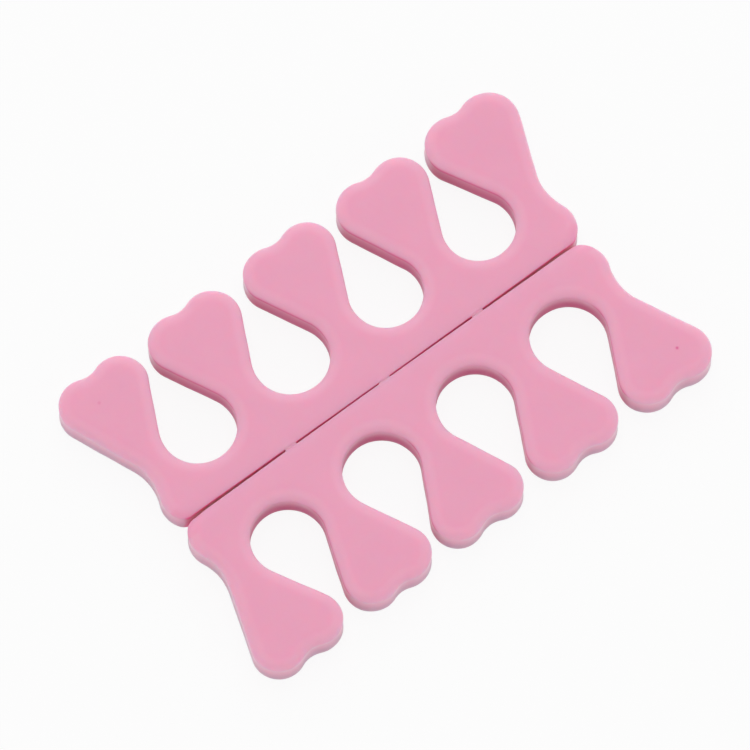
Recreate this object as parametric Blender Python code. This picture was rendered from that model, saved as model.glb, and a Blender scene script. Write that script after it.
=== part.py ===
"""A pair of toe and finger separators, cut by a die from one flat sheet of soft foam.

Two combs lie back to back on either side of a slit that runs along X. Each comb is a straight
spine with fingers that point away from the slit and end in hearts, and a round gap lies between
each finger and the next. Short nicks, where the blade left the foam whole, bridge the slit.

The origin is the middle of the slit on the underside. X runs along the slit, Y along the fingers.
"""

import bpy
import bmesh
from math import acos, asin, atan2, ceil, cos, hypot, pi, radians, sin, sqrt

MM = 0.001

# Sheet
THICKNESS = 6.0 * MM

# Fingers, and the gaps between them
FINGER_COUNT = 5
GAP_DIAMETER = 13.9 * MM
NECK_WIDTH = 7.1 * MM
SPINE_WIDTH = 6.4 * MM
SIDE_LENGTH = 11.0 * MM
MOUTH_WIDTH = 2.7 * MM
END_FINGER_SHIFT = 0.7 * MM

# Heart at the tip of each finger
LOBE_RADIUS = 5.2 * MM
CLEFT_RADIUS = 4.8 * MM

# Outer side of each end finger, and the rounded corner where it meets the slit
END_NECK_WIDTH = 6.2 * MM
HOLLOW_RADIUS = 10.3 * MM
HOLLOW_DROP = 2.4 * MM
CORNER_RADIUS = 5.3 * MM
CORNER_DIP = 0.5 * MM

# Slit between the combs, and the nicks that bridge it
SLIT_WIDTH = 0.4 * MM
NICK_LENGTH = 2.4 * MM
NICK_GROOVE = 0.3 * MM
NICK_ROOT = 0.6 * MM

# Soft edges: the blade draws the top down round the outline, and the underside is nearly sharp
TOP_EDGE_INSET = 1.6 * MM
TOP_EDGE_DROP = 0.8 * MM
SLIT_EDGE_RADIUS = 0.4 * MM
BOTTOM_EDGE_RADIUS = 0.3 * MM

ARC_STEP = radians(15)
EDGE_STEPS = 3
SHARP_ANGLE = radians(35)

FOAM_COLOUR = (0.80, 0.35, 0.50, 1.0)
FOAM_ROUGHNESS = 0.75

# Places that follow from the sizes above
GAP_RADIUS = GAP_DIAMETER / 2
PITCH = GAP_DIAMETER + NECK_WIDTH
GAP_Y = SPINE_WIDTH + GAP_RADIUS
LOBE_X = (PITCH - MOUTH_WIDTH) / 2 - LOBE_RADIUS
LOBE_Y = GAP_Y + sqrt((GAP_RADIUS + LOBE_RADIUS) ** 2 + SIDE_LENGTH ** 2 - (PITCH / 2 - LOBE_X) ** 2)
CLEFT_Y = LOBE_Y + sqrt((LOBE_RADIUS + CLEFT_RADIUS) ** 2 - LOBE_X ** 2)
END_GAP_X = (FINGER_COUNT / 2 - 1) * PITCH
HOLLOW_X = END_GAP_X + GAP_RADIUS + END_NECK_WIDTH + HOLLOW_RADIUS
HOLLOW_Y = GAP_Y - HOLLOW_DROP
CORNER_Y = CORNER_RADIUS - CORNER_DIP
CORNER_X = HOLLOW_X - sqrt((HOLLOW_RADIUS + CORNER_RADIUS) ** 2 - (HOLLOW_Y - CORNER_Y) ** 2)


def finger_middles():
    """Return the x of each finger's middle, from left to right."""
    first = -(FINGER_COUNT - 1) / 2
    middles = [(first + number) * PITCH for number in range(FINGER_COUNT)]
    middles[0] += END_FINGER_SHIFT
    middles[-1] -= END_FINGER_SHIFT
    return middles


def gap_middles():
    """Return the x of each gap's middle, from left to right."""
    first = -(FINGER_COUNT - 2) / 2
    return [(first + number) * PITCH for number in range(FINGER_COUNT - 1)]


def crossing_angle(start, start_radius, end, end_radius):
    """Return the direction, seen from the start circle's centre, of the point where a line that
    crosses over between the two circles, with them on its left and on its right, leaves it.
    The line meets the end circle in the opposite direction from that circle's centre."""
    run = end[0] - start[0]
    rise = end[1] - start[1]
    return atan2(rise, run) + acos((start_radius + end_radius) / hypot(run, rise))


def arc(centre, radius, start, end, turn):
    """Return points on an arc from the start angle to the end angle.
    A turn of 1 goes anticlockwise and a turn of -1 goes clockwise."""
    sweep = turn * ((end - start) * turn % (2 * pi))
    steps = max(2, ceil(abs(sweep) / ARC_STEP))
    angles = [start + sweep * step / steps for step in range(steps + 1)]
    return [(centre[0] + radius * cos(angle), centre[1] + radius * sin(angle)) for angle in angles]


def heart(middle, inset, left_angle, right_angle):
    """Return the tip of one finger, clockwise from its left side to its right side."""
    lobe = LOBE_RADIUS - inset
    lean = atan2(CLEFT_Y - LOBE_Y, LOBE_X)
    left_lobe = arc((middle - LOBE_X, LOBE_Y), lobe, left_angle, lean, -1)
    cleft = arc((middle, CLEFT_Y), CLEFT_RADIUS + inset, pi + lean, -lean, 1)
    right_lobe = arc((middle + LOBE_X, LOBE_Y), lobe, pi - lean, right_angle, -1)
    return left_lobe + cleft + right_lobe


def corner(inset, slit_inset):
    """Return the right-hand corner, clockwise from the hollow to the slit.
    Along it the inset fades from that of the outer edges to that of the slit."""
    start = atan2(HOLLOW_Y - CORNER_Y, HOLLOW_X - CORNER_X)
    steps = ceil((start + pi / 2) / ARC_STEP)
    slit_depth = CORNER_Y - SLIT_WIDTH / 2 - slit_inset
    end = -asin(slit_depth / (CORNER_RADIUS - slit_inset))
    points = []
    for step in range(steps + 1):
        share = step / steps
        radius = CORNER_RADIUS - inset * (1 - share) - slit_inset * share
        angle = start + (end - start) * share
        points.append((CORNER_X + radius * cos(angle), CORNER_Y + radius * sin(angle)))
    return points


def comb_outline(inset, slit_inset):
    """Return the outline of the comb on the +Y side, clockwise from its left corner. It is drawn
    in by inset along the outer edges and by slit_inset along the slit. With it comes, for each
    point, how far its edge is that of the slit: 0 on the outer edges, rising to 1 at the slit."""
    middles = finger_middles()
    gaps = gap_middles()
    lobe = LOBE_RADIUS - inset
    gap = GAP_RADIUS + inset
    hollow = HOLLOW_RADIUS + inset
    right_angles = []
    for middle, gap_x in zip(middles, gaps):
        right_angles.append(crossing_angle((middle + LOBE_X, LOBE_Y), lobe, (gap_x, GAP_Y), gap))
    right_angles.append(crossing_angle((middles[-1] + LOBE_X, LOBE_Y), lobe, (HOLLOW_X, HOLLOW_Y), hollow))
    left_angles = [pi - angle for angle in reversed(right_angles)]
    corner_angle = atan2(CORNER_Y - HOLLOW_Y, CORNER_X - HOLLOW_X)

    points = arc((-HOLLOW_X, HOLLOW_Y), hollow, pi - corner_angle, left_angles[0] + pi, 1)
    for number, middle in enumerate(middles):
        points += heart(middle, inset, left_angles[number], right_angles[number])
        if number < len(gaps):
            start = right_angles[number] + pi
            end = left_angles[number + 1] + pi
            points += arc((gaps[number], GAP_Y), gap, start, end, 1)
    points += arc((HOLLOW_X, HOLLOW_Y), hollow, right_angles[-1] + pi, corner_angle, 1)

    right_corner = corner(inset, slit_inset)
    left_corner = [(-x, y) for x, y in reversed(right_corner)]
    rise = [step / (len(right_corner) - 1) for step in range(len(right_corner))]
    slit_shares = rise[::-1] + [0.0] * len(points) + rise
    return left_corner + points + right_corner, slit_shares


def comb_rings():
    """Return the comb's outline at each height, from the underside to the top, in 3-D points."""
    rings = []
    for inset, height in ((BOTTOM_EDGE_RADIUS, 0.0), (0.0, BOTTOM_EDGE_RADIUS)):
        outline, slit_shares = comb_outline(inset, inset)
        rings.append([(x, y, height) for x, y in outline])
    for step in range(EDGE_STEPS + 1):
        angle = pi / 2 * step / EDGE_STEPS
        drawn_in = 1 - cos(angle)
        outline, slit_shares = comb_outline(TOP_EDGE_INSET * drawn_in, SLIT_EDGE_RADIUS * drawn_in)
        ring = []
        for (x, y), slit_share in zip(outline, slit_shares):
            drop = TOP_EDGE_DROP * (1 - slit_share) + SLIT_EDGE_RADIUS * slit_share
            ring.append((x, y, THICKNESS - drop * (1 - sin(angle))))
        rings.append(ring)
    return rings


def comb_mesh():
    """Return a mesh of the comb on the +Y side, closed by one face below and one above."""
    shape = bmesh.new()
    rings = [[shape.verts.new(point) for point in ring] for ring in comb_rings()]
    shape.faces.new(rings[0])
    shape.faces.new(reversed(rings[-1]))
    for lower, upper in zip(rings, rings[1:]):
        for number in range(len(lower)):
            shape.faces.new((lower[number - 1], upper[number - 1], upper[number], lower[number]))
    bmesh.ops.recalc_face_normals(shape, faces=shape.faces)
    return finished_mesh("comb", shape)


def mirrored_mesh(mesh):
    """Return a copy of a mesh, mirrored across the slit, with its faces still pointing out."""
    shape = bmesh.new()
    shape.from_mesh(mesh)
    bmesh.ops.scale(shape, verts=shape.verts, vec=(1.0, -1.0, 1.0))
    bmesh.ops.reverse_faces(shape, faces=shape.faces)
    return finished_mesh("opposite comb", shape)


def nick_mesh():
    """Return a mesh of the blocks that bridge the slit, one at each finger but the end ones."""
    shape = bmesh.new()
    bottom = BOTTOM_EDGE_RADIUS
    top = THICKNESS - SLIT_EDGE_RADIUS - NICK_GROOVE
    size = (NICK_LENGTH, SLIT_WIDTH + 2 * NICK_ROOT, top - bottom)
    for middle in finger_middles()[1:-1]:
        block = bmesh.ops.create_cube(shape, size=1.0)["verts"]
        bmesh.ops.scale(shape, verts=block, vec=size)
        bmesh.ops.translate(shape, verts=block, vec=(middle, 0.0, (top + bottom) / 2))
    return finished_mesh("nicks", shape)


def finished_mesh(name, shape):
    """Return a new mesh with the shape in it."""
    mesh = bpy.data.meshes.new(name)
    shape.to_mesh(mesh)
    shape.free()
    return mesh


def foam():
    """Return the material of the sheet, a matt pink foam."""
    material = bpy.data.materials.new("pink foam")
    material.use_nodes = True
    shader = material.node_tree.nodes["Principled BSDF"]
    shader.inputs["Base Color"].default_value = FOAM_COLOUR
    shader.inputs["Roughness"].default_value = FOAM_ROUGHNESS
    shader.inputs["Metallic"].default_value = 0.0
    return material


def join(piece, mesh):
    """Join another closed body to a piece, so that the two become one."""
    guide = bpy.data.objects.new(mesh.name, mesh)
    guide.hide_render = True
    guide.display_type = 'WIRE'
    bpy.context.scene.collection.objects.link(guide)
    union = piece.modifiers.new("join " + mesh.name, 'BOOLEAN')
    union.operation = 'UNION'
    union.solver = 'EXACT'
    union.object = guide


def separator_pair():
    """Model the two combs and the nicks between them as one piece of foam."""
    comb = comb_mesh()
    comb.materials.append(foam())
    pair = bpy.data.objects.new("separator_pair", comb)
    bpy.context.scene.collection.objects.link(pair)
    join(pair, nick_mesh())
    join(pair, mirrored_mesh(comb))
    comb.shade_smooth()
    comb.set_sharp_from_angle(angle=SHARP_ANGLE)


for leftover in list(bpy.data.objects):
    bpy.data.objects.remove(leftover)
separator_pair()
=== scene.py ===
"""Toe and finger separators in pink foam: two combs, die-cut side by side and still held together.

Lengths are in metres. The origin is the middle of the slit on the underside, X runs along the slit
and Y along the fingers, as in the frame.
"""

from math import acos, atan2, ceil, cos, hypot, pi, radians, sin, sqrt

import bmesh
import bpy
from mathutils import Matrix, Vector, noise


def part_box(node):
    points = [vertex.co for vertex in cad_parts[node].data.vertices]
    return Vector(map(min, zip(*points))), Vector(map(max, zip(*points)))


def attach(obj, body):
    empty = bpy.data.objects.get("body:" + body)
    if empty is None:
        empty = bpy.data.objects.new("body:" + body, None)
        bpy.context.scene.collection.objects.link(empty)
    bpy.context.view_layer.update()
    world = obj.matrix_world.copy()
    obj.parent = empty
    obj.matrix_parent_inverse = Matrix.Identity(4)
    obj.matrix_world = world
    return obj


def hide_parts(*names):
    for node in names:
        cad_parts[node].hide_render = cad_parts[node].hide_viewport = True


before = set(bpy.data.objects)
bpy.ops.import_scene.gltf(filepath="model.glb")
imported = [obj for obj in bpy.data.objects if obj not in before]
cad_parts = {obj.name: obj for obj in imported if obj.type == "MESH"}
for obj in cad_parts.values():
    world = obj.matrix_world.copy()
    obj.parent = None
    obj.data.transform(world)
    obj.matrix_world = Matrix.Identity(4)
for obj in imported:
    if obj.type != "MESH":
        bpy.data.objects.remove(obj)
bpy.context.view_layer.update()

# The two combs. A die cuts both from one 6 mm sheet of closed-cell foam: each is a straight spine with
# five fingers that end in hearts. The blade squashes the soft sheet, so that no finger springs back
# quite like the next.
MM = 0.001
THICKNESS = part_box("separator_pair")[1].z

PITCH = 21.0 * MM
SPINE_WIDTH = 6.4 * MM
GAP_RADIUS = 6.95 * MM
SIDE_LENGTH = 11.0 * MM
MOUTH_WIDTH = 2.7 * MM
END_FINGER_SHIFT = 0.7 * MM
LOBE_RADIUS = 5.2 * MM
CLEFT_RADIUS = 4.8 * MM
END_NECK_WIDTH = 6.2 * MM
HOLLOW_RADIUS = 10.3 * MM
HOLLOW_DROP = 2.4 * MM
CORNER_RADIUS = 5.3 * MM
CORNER_DIP = 0.5 * MM
SLIT_HALF = 0.11 * MM
SLIT_END_HALF = 0.29 * MM
SLIT_GAPE = 1.5
SLIT_END_RADIUS = 2.55 * MM

NICK_MIDDLES = (-PITCH, 0.0, PITCH)
NICK_HALF = 1.2 * MM

GAP_Y = SPINE_WIDTH + GAP_RADIUS
LOBE_X = (PITCH - MOUTH_WIDTH) / 2 - LOBE_RADIUS
LOBE_Y = GAP_Y + sqrt((GAP_RADIUS + LOBE_RADIUS) ** 2 + SIDE_LENGTH ** 2 - (PITCH / 2 - LOBE_X) ** 2)
HOLLOW_X = 1.5 * PITCH + GAP_RADIUS + END_NECK_WIDTH + HOLLOW_RADIUS
HOLLOW_Y = GAP_Y - HOLLOW_DROP
CORNER_Y = CORNER_RADIUS - CORNER_DIP
CORNER_X = HOLLOW_X - sqrt((HOLLOW_RADIUS + CORNER_RADIUS) ** 2 - (HOLLOW_Y - CORNER_Y) ** 2)
SLIT_END_Y = SLIT_END_HALF + SLIT_END_RADIUS

ARC_STEP = radians(5)
SIDE_STEP = 0.9 * MM
SAME_POINT = 0.01 * MM

# How far each heart has sprung off the die's pattern, in millimetres: along the slit, outwards, in
# the spread of its lobes and in their size
BACK_HEARTS = ((-0.3, 0.0, -0.3, 0.0), (-0.3, -0.2, -0.1, 0.2), (0.2, 0.0, 0.0, 0.1),
               (0.1, -0.2, -0.1, 0.2), (0.2, -0.2, -0.2, 0.5))
FRONT_HEARTS = ((0.2, 0.0, 0.1, -0.2), (0.3, -0.4, -0.4, 0.0), (-0.6, -0.2, 0.4, -0.3),
                (-0.3, -0.2, 0.3, -0.2), (0.7, -0.4, 0.1, 0.0))
# The same for each gap between them: along the slit, outwards, and in its size
BACK_GAPS = ((-0.3, 0.0, 0.1), (-0.1, 0.5, 0.2), (0.0, 0.0, -0.1), (0.0, 0.0, -0.2))
FRONT_GAPS = ((-0.2, 0.0, -0.1), (-0.1, -0.1, 0.2), (-0.1, 0.0, 0.2), (0.1, -0.1, 0.2))
# And for the left and the right end: the hollow along and outwards, and the corner outwards
BACK_ENDS = ((0.1, -0.2, -0.4), (0.6, 0.2, 0.4))
FRONT_ENDS = ((-0.4, 0.0, -0.1), (0.2, -0.1, 0.1))


def end_rounds(side, sprung):
    """Return the hollow and the two rounds of the corner at the left end, side -1, or the right, 1.
    The hollow runs smoothly into the corner, and the corner into a smaller round at the slit."""
    hollow_along, hollow_out, corner_out = sprung
    hollow_x = side * HOLLOW_X + hollow_along * MM
    hollow_y = HOLLOW_Y + hollow_out * MM
    corner_y = CORNER_Y + corner_out * MM
    corner_x = hollow_x - side * sqrt((HOLLOW_RADIUS + CORNER_RADIUS) ** 2 - (hollow_y - corner_y) ** 2)
    slit_end_run = sqrt((CORNER_RADIUS - SLIT_END_RADIUS) ** 2 - (corner_y - SLIT_END_Y) ** 2)
    return [
        (hollow_x, hollow_y, HOLLOW_RADIUS, 1),
        (corner_x, corner_y, CORNER_RADIUS, -1),
        (corner_x + side * slit_end_run, SLIT_END_Y, SLIT_END_RADIUS, -1)]


def die_rounds(hearts, gaps, ends):
    """Return the round parts of a comb's blade, clockwise from the left corner.
    Each is its middle, its radius and its turn: 1 where the foam's edge runs anticlockwise, else -1."""
    rounds = end_rounds(-1, ends[0])[::-1]
    last = (len(hearts) - 1) / 2
    for number, (along, out, spread, fuller) in enumerate(hearts):
        place = number - last
        middle = place * PITCH + along * MM
        if abs(place) == last:
            middle -= END_FINGER_SHIFT * place / last
        lobe_x = LOBE_X + spread * MM
        lobe_y = LOBE_Y + out * MM
        lobe = LOBE_RADIUS + fuller * MM
        cleft_y = lobe_y + sqrt((lobe + CLEFT_RADIUS) ** 2 - lobe_x ** 2)
        rounds.append((middle - lobe_x, lobe_y, lobe, -1))
        rounds.append((middle, cleft_y, CLEFT_RADIUS, 1))
        rounds.append((middle + lobe_x, lobe_y, lobe, -1))
        if number < len(gaps):
            along, out, wider = gaps[number]
            gap_x = (place + 0.5) * PITCH + along * MM
            rounds.append((gap_x, GAP_Y + out * MM, GAP_RADIUS + wider * MM, 1))
    return rounds + end_rounds(1, ends[1])


def straight(start, end, step):
    """Return the points between two points, without the two themselves."""
    count = ceil(hypot(end[0] - start[0], end[1] - start[1]) / step)
    shares = [number / count for number in range(1, count)]
    return [(start[0] + (end[0] - start[0]) * s, start[1] + (end[1] - start[1]) * s) for s in shares]


def slit_half(x):
    """Return half the width of the open slit, which gapes towards its ends."""
    return SLIT_HALF + (SLIT_END_HALF - SLIT_HALF) * min(1.0, abs(x / CORNER_X)) ** SLIT_GAPE


def die_outline(hearts, gaps, ends):
    """Return the outline of one comb, clockwise from its left corner, and back along the slit."""
    rounds = die_rounds(hearts, gaps, ends)
    arrives = [-pi / 2]
    leaves = []
    for (x, y, radius, turn), (next_x, next_y, next_radius, next_turn) in zip(rounds, rounds[1:]):
        run = next_x - x
        rise = next_y - y
        share = (radius - turn * next_turn * next_radius) / hypot(run, rise)
        leave = atan2(rise, run) - turn * acos(max(-1.0, min(1.0, share)))
        leaves.append(leave)
        arrives.append(leave if turn == next_turn else leave + pi)
    leaves.append(-pi / 2)

    points = []
    for (x, y, radius, turn), arrive, leave in zip(rounds, arrives, leaves):
        sweep = turn * ((leave - arrive) * turn % (2 * pi))
        steps = ceil(abs(sweep) / ARC_STEP)
        angles = [arrive + sweep * step / steps for step in range(steps + 1)]
        bend = [(x + radius * cos(angle), y + radius * sin(angle)) for angle in angles]
        if points:
            if hypot(bend[0][0] - points[-1][0], bend[0][1] - points[-1][1]) < SAME_POINT:
                bend = bend[1:]
            else:
                points += straight(points[-1], bend[0], SIDE_STEP)
        points += bend

    stops = [points[-1][0]]
    for middle in reversed(NICK_MIDDLES):
        stops += [middle + NICK_HALF, middle - NICK_HALF]
    stops.append(points[0][0])
    for number, (start, end) in enumerate(zip(stops, stops[1:])):
        if number > 0:
            points.append((start, slit_half(start)))
        points += [(x, slit_half(x)) for x, y in straight((start, 0.0), (end, 0.0), SIDE_STEP)]
    return points


# The thickness of the combs. The blade draws the top down into a wide soft edge, which is shallower
# along the slit, and leaves the sides a bit hollow and the foot a little round. The flat top is cut
# into a grid, so that it can dip like real foam.
FOOT_ROUND = 0.6 * MM
FOOT_STEPS = 4
WALL_STEPS = 6
WAIST = 0.15 * MM
EDGE_WIDTH = 2.4 * MM
EDGE_DROP = 1.1 * MM
EDGE_STEPS = 10
SLIT_EDGE_SHARE = 0.4
SLIT_EDGE_FADE = (2.6 * MM, 3.4 * MM)
SLIT_END_FADE = (40.0 * MM, 44.0 * MM)
TOP_GRID = 2.5 * MM
FLAT = 0.9
HAIR = 0.001 * MM


def pick_faces(mesh, wanted):
    """Select the faces that pass the test, and no others."""
    bpy.ops.mesh.select_all(action='DESELECT')
    shape = bmesh.from_edit_mesh(mesh)
    for face in [face for face in shape.faces if wanted(face)]:
        face.select_set(True)
    bmesh.update_edit_mesh(mesh)


def pick_verts(mesh, wanted):
    """Select the vertices that pass the test, and no others."""
    bpy.ops.mesh.select_all(action='DESELECT')
    shape = bmesh.from_edit_mesh(mesh)
    for vert in [vert for vert in shape.verts if wanted(vert)]:
        vert.select_set(True)
    shape.select_flush(True)
    bmesh.update_edit_mesh(mesh)


def fade(value, start, end):
    """Return 0 before the start, 1 after the end and a smooth rise between them."""
    share = max(0.0, min(1.0, (value - start) / (end - start)))
    return share * share * (3 - 2 * share)


def on_flat_top(face):
    """Say whether a face lies in the flat of the comb's top, inside its soft edges."""
    return all(vert.co.z > THICKNESS - HAIR for vert in face.verts)


def cut_comb(name, hearts, gaps, ends):
    """Cut one comb out of the sheet, with its slit along X and its fingers on the +Y side."""
    outline = die_outline(hearts, gaps, ends)
    bpy.ops.object.select_all(action='DESELECT')
    bpy.ops.mesh.primitive_circle_add(vertices=len(outline), radius=PITCH, fill_type='NGON')
    comb = bpy.context.object
    comb.name = name
    comb.data.name = name
    for vert, (x, y) in zip(comb.data.vertices, outline):
        vert.co = (x, y, FOOT_ROUND)

    bpy.ops.object.mode_set(mode='EDIT')
    bpy.ops.mesh.select_all(action='SELECT')
    wall_step = (THICKNESS - EDGE_DROP - FOOT_ROUND) / WALL_STEPS
    for _ in range(WALL_STEPS):
        bpy.ops.mesh.extrude_region_move(TRANSFORM_OT_translate={"value": (0, 0, wall_step)})
    bpy.ops.mesh.select_all(action='SELECT')
    bpy.ops.mesh.normals_make_consistent(inside=False)
    for step in range(1, WALL_STEPS):
        level = FOOT_ROUND + wall_step * step
        pick_verts(comb.data, lambda vert: abs(vert.co.z - level) < wall_step / 4)
        bpy.ops.transform.shrink_fatten(value=-WAIST * sin(pi * step / WALL_STEPS))

    pick_faces(comb.data, lambda face: face.normal.z > FLAT)
    for step in range(EDGE_STEPS):
        near = pi / 2 * step / EDGE_STEPS
        far = pi / 2 * (step + 1) / EDGE_STEPS
        width = EDGE_WIDTH * (cos(near) - cos(far))
        rise = EDGE_DROP * (sin(far) - sin(near))
        bpy.ops.mesh.inset(thickness=width, depth=rise, use_even_offset=True)

    pick_faces(comb.data, lambda face: face.normal.z < -FLAT)
    for step in range(FOOT_STEPS):
        near = pi / 2 * step / FOOT_STEPS
        far = pi / 2 * (step + 1) / FOOT_STEPS
        width = FOOT_ROUND * (cos(near) - cos(far))
        fall = FOOT_ROUND * (sin(far) - sin(near))
        bpy.ops.mesh.inset(thickness=width, depth=fall, use_even_offset=True)

    half_length = ceil(HOLLOW_X / TOP_GRID)
    for line in range(-half_length, half_length):
        pick_faces(comb.data, on_flat_top)
        bpy.ops.mesh.bisect(plane_co=((line + 0.5) * TOP_GRID, 0, 0), plane_no=(1, 0, 0))
    for line in range(1, half_length):
        pick_faces(comb.data, on_flat_top)
        bpy.ops.mesh.bisect(plane_co=(0, (line + 0.5) * TOP_GRID, 0), plane_no=(0, 1, 0))
    bpy.ops.object.mode_set(mode='OBJECT')

    for vert in comb.data.vertices:
        x, y, z = vert.co
        if z > THICKNESS - EDGE_DROP - HAIR:
            by_slit = (1 - fade(y, *SLIT_EDGE_FADE)) * (1 - fade(abs(x), *SLIT_END_FADE))
            vert.co.z = THICKNESS - (THICKNESS - z) * (1 - by_slit * (1 - SLIT_EDGE_SHARE))
    return comb


back_comb = cut_comb("back_comb", BACK_HEARTS, BACK_GAPS, BACK_ENDS)
front_comb = cut_comb("front_comb", FRONT_HEARTS, FRONT_GAPS, FRONT_ENDS)
bpy.ops.object.mode_set(mode='EDIT')
bpy.ops.mesh.select_all(action='SELECT')
bpy.ops.transform.resize(value=(1, -1, 1), center_override=(0, 0, 0))
bpy.ops.mesh.normals_make_consistent(inside=False)
bpy.ops.object.mode_set(mode='OBJECT')

# The nicks. The blade has a short notch at each of the three middle fingers, which leaves the foam
# whole there, so that the two combs stay one piece until they are torn apart. The top is only creased.
bpy.ops.object.select_all(action='DESELECT')
back_comb.select_set(True)
front_comb.select_set(True)
bpy.context.view_layer.objects.active = back_comb
bpy.ops.object.join()
separator = back_comb
separator.name = "foam_separator_pair"
separator.data.name = "foam_separator_pair"

bpy.ops.object.mode_set(mode='EDIT')
for middle in NICK_MIDDLES:
    def in_nick(face):
        """Say whether a face of a slit wall lies between the ends of this nick."""
        place = face.calc_center_median()
        at_slit = abs(place.y) < SLIT_HALF + 2 * WAIST and abs(face.normal.y) > FLAT
        return at_slit and abs(place.x - middle) < NICK_HALF and place.z > FOOT_ROUND
    pick_faces(separator.data, in_nick)
    bpy.ops.mesh.bridge_edge_loops()
bpy.ops.object.mode_set(mode='OBJECT')

# The give of soft foam: the top dips and the sides wander by a tenth of a millimetre or less, and the
# underside lies flat. Marks on the mesh tell the material where to paint light and shade: a pale painted
# sheen on the top's soft edges, painted shade on the foot of the cut sides, and deeper painted shade on
# cut sides that face another one, in a gap or in the slit.
TOP_DIP = 0.10 * MM
DIP_LENGTH = 9.0 * MM
SIDE_WANDER = 0.07 * MM
WANDER_LENGTH = 4.0 * MM
# The painted sheen on the edges along the slit is this much weaker
SLIT_SHEEN_PAINT_LOSS = 0.8

# Where each mark fades: by how far a face looks up, by the place across the part and by the height
CUT_FADE = (0.1, 0.85)
# The painted shade on the foot of the cut sides fades out between these heights
FOOT_SHADE_FADE = (0.6 * MM, 3.4 * MM)
END_FINGER_FADE = (2 * PITCH - 1.7 * MM, 2 * PITCH + 0.3 * MM)
LOBE_FADE = (LOBE_Y - 1.0 * MM, LOBE_Y + 2.0 * MM)
# Where the gap tops lose part of their painted shade towards the top, and how much
GAP_TOP_FADE = (SPINE_WIDTH + GAP_RADIUS / 2, SPINE_WIDTH + GAP_RADIUS)
GAP_TOP_SHADE_FADE = (1.8 * MM, 4.4 * MM)
GAP_TOP_SHADE_LOSS = 0.75
SLIT_SIDE_FADE = (0.4 * MM, 1.0 * MM)
SMOOTH_ANGLE = radians(50)


def mark(name, values):
    """Keep one value for each vertex under this name, for the foam's material to read."""
    marks = separator.data.attributes.new(name, 'FLOAT', 'POINT')
    marks.data.foreach_set("value", values)


verts = separator.data.vertices
# Painted sheen: the top's soft edges are painted paler the further they drop from the flat, and less so
# along the slit
rim_painted_sheen = []
for vert in verts:
    drop = max(0.0, THICKNESS - vert.co.z)
    near_slit = 1 - fade(abs(vert.co.y), *SLIT_EDGE_FADE)
    painted_sheen = sqrt(drop / EDGE_DROP) * (1 - near_slit * SLIT_SHEEN_PAINT_LOSS)
    rim_painted_sheen.append(painted_sheen if drop < EDGE_DROP + HAIR else 0.0)
mark("rim_painted_sheen", rim_painted_sheen)

sides = [vert.normal * Vector((1.0, 1.0, 0.0)) for vert in verts]
for vert, side in zip(verts, sides):
    x, y, z = vert.co
    if z > THICKNESS / 2:
        dip = noise.noise(Vector((x, y, 0.0)) / DIP_LENGTH)
        vert.co.z -= TOP_DIP * (0.5 + 0.5 * dip) * fade(z, THICKNESS / 2, THICKNESS - EDGE_DROP)
    if z > HAIR and abs(y) > SLIT_END_Y:
        vert.co += side * SIDE_WANDER * noise.noise(Vector((x, y, z / 2)) / WANDER_LENGTH)

# Painted shade on the cut sides: one mark picks the sides that get it, the next where it is the deep
# pink of facing sides, the last where it is the slit's crimson
cut_side_shade = []
facing_side_shade = []
slit_shade = []
for vert in verts:
    x, y, z = vert.co
    by_slit = 1 - fade(abs(y), *SLIT_SIDE_FADE)
    by_gap = (1 - fade(abs(x), *END_FINGER_FADE)) * (1 - fade(abs(y), *LOBE_FADE))
    # Painted shade and reflection of the table at the foot of every side
    foot_shade = 1 - fade(z, *FOOT_SHADE_FADE)
    gap_top_shade_loss = (1 - fade(abs(y), *GAP_TOP_FADE)) * fade(z, *GAP_TOP_SHADE_FADE) * GAP_TOP_SHADE_LOSS
    by_side = max(by_slit, by_gap * (1 - gap_top_shade_loss), foot_shade)
    cut_side_shade.append((1 - fade(vert.normal.z, *CUT_FADE)) * by_side)
    facing_side_shade.append(max(by_slit, by_gap))
    slit_shade.append(by_slit)
mark("cut_side_shade", cut_side_shade)
mark("facing_side_shade", facing_side_shade)
mark("slit_shade", slit_shade)

bpy.ops.object.select_all(action='DESELECT')
separator.select_set(True)
bpy.context.view_layer.objects.active = separator
bpy.ops.object.shade_smooth_by_angle(angle=SMOOTH_ANGLE)

# The foam itself, a matt pink closed-cell foam. Its skin is nearly even, with faint clouds, very fine
# cells and a soft bloom where it is seen edge-on; its soft edges also get a pale painted sheen. The cut
# sides carry painted shade: a greyer pink at their foot, for the table's shade and reflection, and a
# deep pink where they face each other, for shade and pink light bounced between them, crimson in the
# slit. Light goes a few millimetres into the foam.
SKIN_PINK = (0.81, 0.335, 0.495, 1)
SKIN_PINK_CLOUD = (0.79, 0.32, 0.48, 1)
# The pale colour painted on the top's soft edges as sheen, and its strongest share
SHEEN_PAINT_PINK = (0.80, 0.61, 0.71, 1)
SHEEN_PAINT_SHARE = 0.45
# Painted shade and reflection of the table on the foot of the open cut sides: a darker, greyer pink
OPEN_SIDE_SHADE_PINK = (0.64, 0.33, 0.46, 1)
# Painted shade where cut sides face each other: deep pink in the gaps, crimson in the slit, for the
# shade and the pink light bounced between them
GAP_SHADE_PINK = (0.68, 0.03, 0.23, 1)
SLIT_SHADE_PINK = (0.85, 0.04, 0.27, 1)
# Two pinholes in the skin of the end hearts, painted as dark spots of shade instead of cut into the
# mesh: the middle of each and how dark it is
PINHOLES = ((Vector((45.4, -27.1, 6.0)) * MM, 0.9), (Vector((-43.4, 27.3, 6.0)) * MM, 0.3))
PINHOLE_RADIUS = 0.5 * MM
CELL_SIZE = 0.35 * MM
CELL_DEPTH = 0.02 * MM
CLOUD_SIZE = 7.0 * MM

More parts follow.
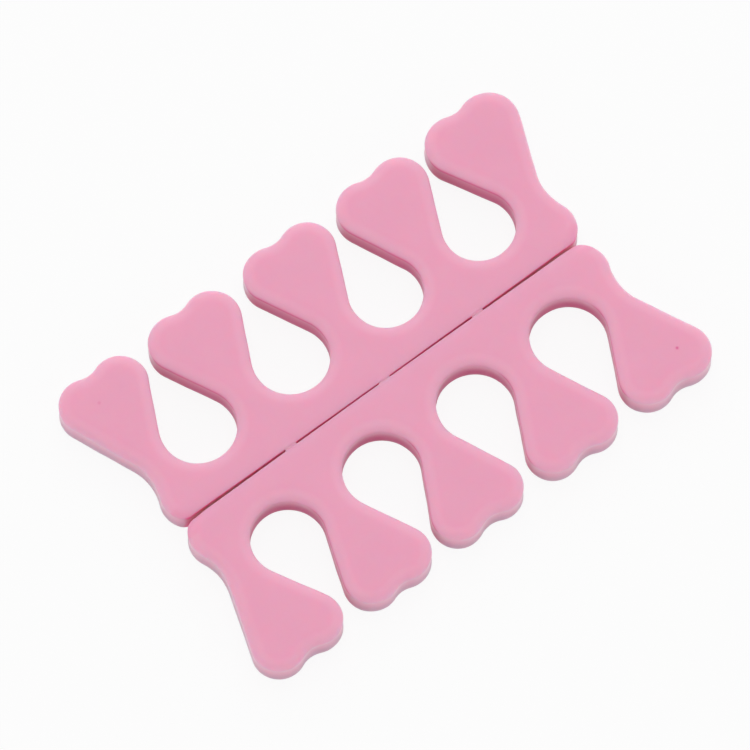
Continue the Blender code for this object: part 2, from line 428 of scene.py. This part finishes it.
foam = bpy.data.materials.new("pink foam")
foam.use_nodes = True
nodes = foam.node_tree.nodes
links = foam.node_tree.links
shader = nodes["Principled BSDF"]
shader.inputs["Roughness"].default_value = 0.5
shader.inputs["Specular IOR Level"].default_value = 0.7
shader.inputs["Sheen Weight"].default_value = 0.6
shader.inputs["Sheen Roughness"].default_value = 0.4
shader.inputs["Subsurface Weight"].default_value = 1.0
shader.inputs["Subsurface Radius"].default_value = (1.0, 0.3, 0.45)
shader.inputs["Subsurface Scale"].default_value = 3.0 * MM


def mixed_pink(first, second, share):
    """Return a mix of two pinks. Each of the three is a plain value or another node's output."""
    mix = nodes.new("ShaderNodeMix")
    mix.data_type = 'RGBA'
    for socket, value in (("A", first), ("B", second), ("Factor", share)):
        if isinstance(value, bpy.types.NodeSocket):
            links.new(value, mix.inputs[socket])
        else:
            mix.inputs[socket].default_value = value
    return mix.outputs["Result"]


def marked(name):
    """Return the value that the mesh keeps under this name."""
    reader = nodes.new("ShaderNodeAttribute")
    reader.attribute_name = name
    return reader.outputs["Fac"]


place = nodes.new("ShaderNodeTexCoord")
clouds = nodes.new("ShaderNodeTexNoise")
clouds.inputs["Scale"].default_value = 1 / CLOUD_SIZE
clouds.inputs["Detail"].default_value = 3
links.new(place.outputs["Object"], clouds.inputs["Vector"])
skin = mixed_pink(SKIN_PINK, SKIN_PINK_CLOUD, clouds.outputs["Fac"])
# Painted sheen on the top's soft edges
sheen_paint_amount = nodes.new("ShaderNodeMath")
sheen_paint_amount.operation = 'MULTIPLY'
sheen_paint_amount.inputs[1].default_value = SHEEN_PAINT_SHARE
links.new(marked("rim_painted_sheen"), sheen_paint_amount.inputs[0])
skin_with_painted_sheen = mixed_pink(skin, SHEEN_PAINT_PINK, sheen_paint_amount.outputs["Value"])
# Painted shade on the cut sides
side_shade_pink = mixed_pink(OPEN_SIDE_SHADE_PINK, GAP_SHADE_PINK, marked("facing_side_shade"))
side_shade_pink = mixed_pink(side_shade_pink, SLIT_SHADE_PINK, marked("slit_shade"))
foam_pink = mixed_pink(skin_with_painted_sheen, side_shade_pink, marked("cut_side_shade"))

# Painted shade: each pinhole darkens towards the shade pink of the gaps
for middle, depth in PINHOLES:
    apart = nodes.new("ShaderNodeVectorMath")
    apart.operation = 'DISTANCE'
    apart.inputs[1].default_value = middle
    links.new(place.outputs["Object"], apart.inputs[0])
    inside = nodes.new("ShaderNodeMapRange")
    inside.interpolation_type = 'SMOOTHSTEP'
    inside.inputs["From Max"].default_value = PINHOLE_RADIUS
    inside.inputs["To Min"].default_value = depth
    inside.inputs["To Max"].default_value = 0.0
    links.new(apart.outputs["Value"], inside.inputs["Value"])
    foam_pink = mixed_pink(foam_pink, GAP_SHADE_PINK, inside.outputs["Result"])
links.new(foam_pink, shader.inputs["Base Color"])

cells = nodes.new("ShaderNodeTexVoronoi")
cells.inputs["Scale"].default_value = 1 / CELL_SIZE
links.new(place.outputs["Object"], cells.inputs["Vector"])
bump = nodes.new("ShaderNodeBump")
bump.inputs["Strength"].default_value = 0.25
bump.inputs["Distance"].default_value = CELL_DEPTH
links.new(cells.outputs["Distance"], bump.inputs["Height"])
links.new(bump.outputs["Normal"], shader.inputs["Normal"])

separator.data.materials.clear()
separator.data.materials.append(foam)
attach(separator, "root")
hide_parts("separator_pair")

# The table: a plain white board. It lights the foam's sides from below like a real one. The camera
# sees it mostly in its own pure white, and for the rest as it is lit, so that a faint shadow stays.
BOARD_SIZE = 6.0
BOARD_GAP = 0.05 * MM
BOARD_WHITE = (0.8, 0.8, 0.8, 1)
PURE_WHITE = (1, 1, 1, 1)
OWN_WHITE_SHARE = 0.9


def seen_rays(nodes, links):
    """Return a socket that is 1 where the camera, a gloss or a clear material sees the surroundings."""
    path = nodes.new("ShaderNodeLightPath")
    direct = nodes.new("ShaderNodeMath")
    direct.operation = 'MAXIMUM'
    links.new(path.outputs["Is Camera Ray"], direct.inputs[0])
    links.new(path.outputs["Is Glossy Ray"], direct.inputs[1])
    seen = nodes.new("ShaderNodeMath")
    seen.operation = 'MAXIMUM'
    links.new(direct.outputs["Value"], seen.inputs[0])
    links.new(path.outputs["Is Transmission Ray"], seen.inputs[1])
    return seen.outputs["Value"]


bpy.ops.object.select_all(action='DESELECT')
bpy.ops.mesh.primitive_plane_add(size=BOARD_SIZE, location=(0, 0, -BOARD_GAP))
board = bpy.context.object
board.name = "white_board"
white = bpy.data.materials.new("white board")
white.use_nodes = True
nodes = white.node_tree.nodes
links = white.node_tree.links
nodes.clear()
lit = nodes.new("ShaderNodeBsdfDiffuse")
lit.inputs["Color"].default_value = BOARD_WHITE
own = nodes.new("ShaderNodeEmission")
own.inputs["Color"].default_value = PURE_WHITE
share = nodes.new("ShaderNodeMath")
share.operation = 'MULTIPLY'
share.inputs[1].default_value = OWN_WHITE_SHARE
links.new(seen_rays(nodes, links), share.inputs[0])
blend = nodes.new("ShaderNodeMixShader")
links.new(share.outputs["Value"], blend.inputs["Fac"])
links.new(lit.outputs["BSDF"], blend.inputs[1])
links.new(own.outputs["Emission"], blend.inputs[2])
output = nodes.new("ShaderNodeOutputMaterial")
links.new(blend.outputs["Shader"], output.inputs["Surface"])
board.data.materials.append(white)

# Light: a big softbox overhead and a weaker one low at the back, in a white tent that glows most near
# the table. The open sides are lit from all around, and the gaps get only light bounced off the foam's
# own pink, on top of the shade painted on their sides.
CAMERA_AZIMUTH = radians(-37.27)
LOW_GLOW = 1.15
HIGH_GLOW = 0.15
LOW_SINE = 0.3
HIGH_SINE = 0.9
BOX_DISTANCE = 2.5
# Each box: its bearing clockwise from the camera's right, elevation, width, height and power
BOXES = (("back_softbox", radians(-90), radians(35), 2.0, 1.2, 10.0),
         ("top_softbox", radians(-90), radians(80), 2.4, 2.4, 28.0))

world = bpy.data.worlds.new("studio")
bpy.context.scene.world = world
world.use_nodes = True
nodes = world.node_tree.nodes
links = world.node_tree.links
tent = nodes["Background"]
tent.inputs["Color"].default_value = PURE_WHITE
direction = nodes.new("ShaderNodeTexCoord")
parts = nodes.new("ShaderNodeSeparateXYZ")
links.new(direction.outputs["Generated"], parts.inputs["Vector"])
glow = nodes.new("ShaderNodeMapRange")
glow.interpolation_type = 'SMOOTHSTEP'
glow.inputs["From Min"].default_value = LOW_SINE
glow.inputs["From Max"].default_value = HIGH_SINE
glow.inputs["To Min"].default_value = LOW_GLOW
glow.inputs["To Max"].default_value = HIGH_GLOW
links.new(parts.outputs["Z"], glow.inputs["Value"])
strength = nodes.new("ShaderNodeMix")
strength.data_type = 'FLOAT'
strength.inputs["B"].default_value = 1.0
links.new(glow.outputs["Result"], strength.inputs["A"])
links.new(seen_rays(nodes, links), strength.inputs["Factor"])
links.new(strength.outputs["Result"], tent.inputs["Strength"])

for name, bearing, elevation, width, height, watts in BOXES:
    box = bpy.data.lights.new(name, 'AREA')
    box.shape = 'RECTANGLE'
    box.size = width
    box.size_y = height
    box.energy = watts
    lamp = bpy.data.objects.new(name, box)
    around = CAMERA_AZIMUTH - bearing
    away = Vector((cos(around) * cos(elevation), sin(around) * cos(elevation), sin(elevation)))
    lamp.location = away * BOX_DISTANCE
    lamp.rotation_euler = (-away).to_track_quat('-Z', 'Y').to_euler()
    bpy.context.scene.collection.objects.link(lamp)

# The camera looks down on the pair from far off and from the front left, so that the slit runs up to
# the right.
CAMERA_AIM = Vector((-0.22, 2.46, 3.0)) * MM
CAMERA_DISTANCE = 1.9857
CAMERA_ELEVATION = radians(70.1)
CAMERA_LENS = 530.9

back = Vector((sin(CAMERA_AZIMUTH) * cos(CAMERA_ELEVATION), -cos(CAMERA_AZIMUTH) * cos(CAMERA_ELEVATION),
               sin(CAMERA_ELEVATION)))
lens = bpy.data.cameras.new("camera")
lens.lens = CAMERA_LENS
lens.sensor_width = 36.0
lens.clip_end = 20.0
camera = bpy.data.objects.new("camera", lens)
camera.location = CAMERA_AIM + back * CAMERA_DISTANCE
camera.rotation_euler = (-back).to_track_quat('-Z', 'Y').to_euler()
bpy.context.scene.collection.objects.link(camera)
bpy.context.scene.camera = camera
bpy.context.scene.view_settings.view_transform = 'Standard'
